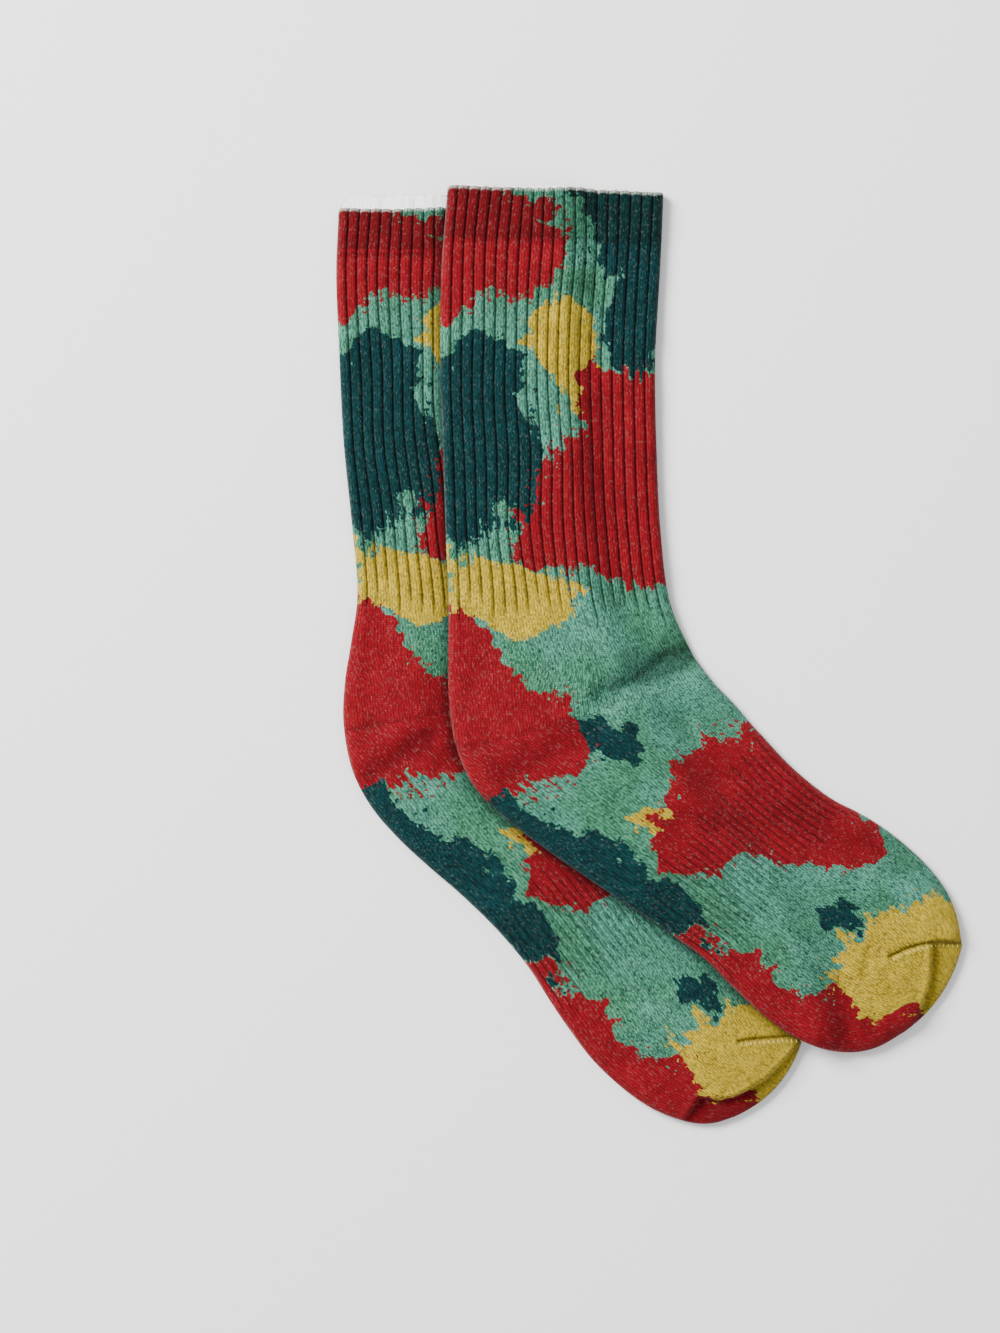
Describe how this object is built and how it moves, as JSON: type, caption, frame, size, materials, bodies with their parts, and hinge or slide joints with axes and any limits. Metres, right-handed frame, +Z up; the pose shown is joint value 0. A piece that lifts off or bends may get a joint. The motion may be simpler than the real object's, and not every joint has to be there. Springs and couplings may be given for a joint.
{
  "type": "pair of crew socks",
  "caption": "Pair of ribbed crew socks laid flat side by side, one over the edge of the other, each an open knitted tube with a bent heel and a closed toe.",
  "frame": {"origin": "under the middle of the pair, on the surface that it lies on", "axes": "+Y along the legs towards the cuffs, +X towards the shins and toes, +Z up from the surface"},
  "size_m": [0.2574, 0.3844, 0.0148],
  "materials": {
    "dyed_knit": "soft matt cotton knit, mint green with teal, red and ochre patches, white inside"
  },
  "bodies": {
    "root": {"sock_under": "dyed_knit", "sock_over": "dyed_knit"}
  },
  "joints": []
}
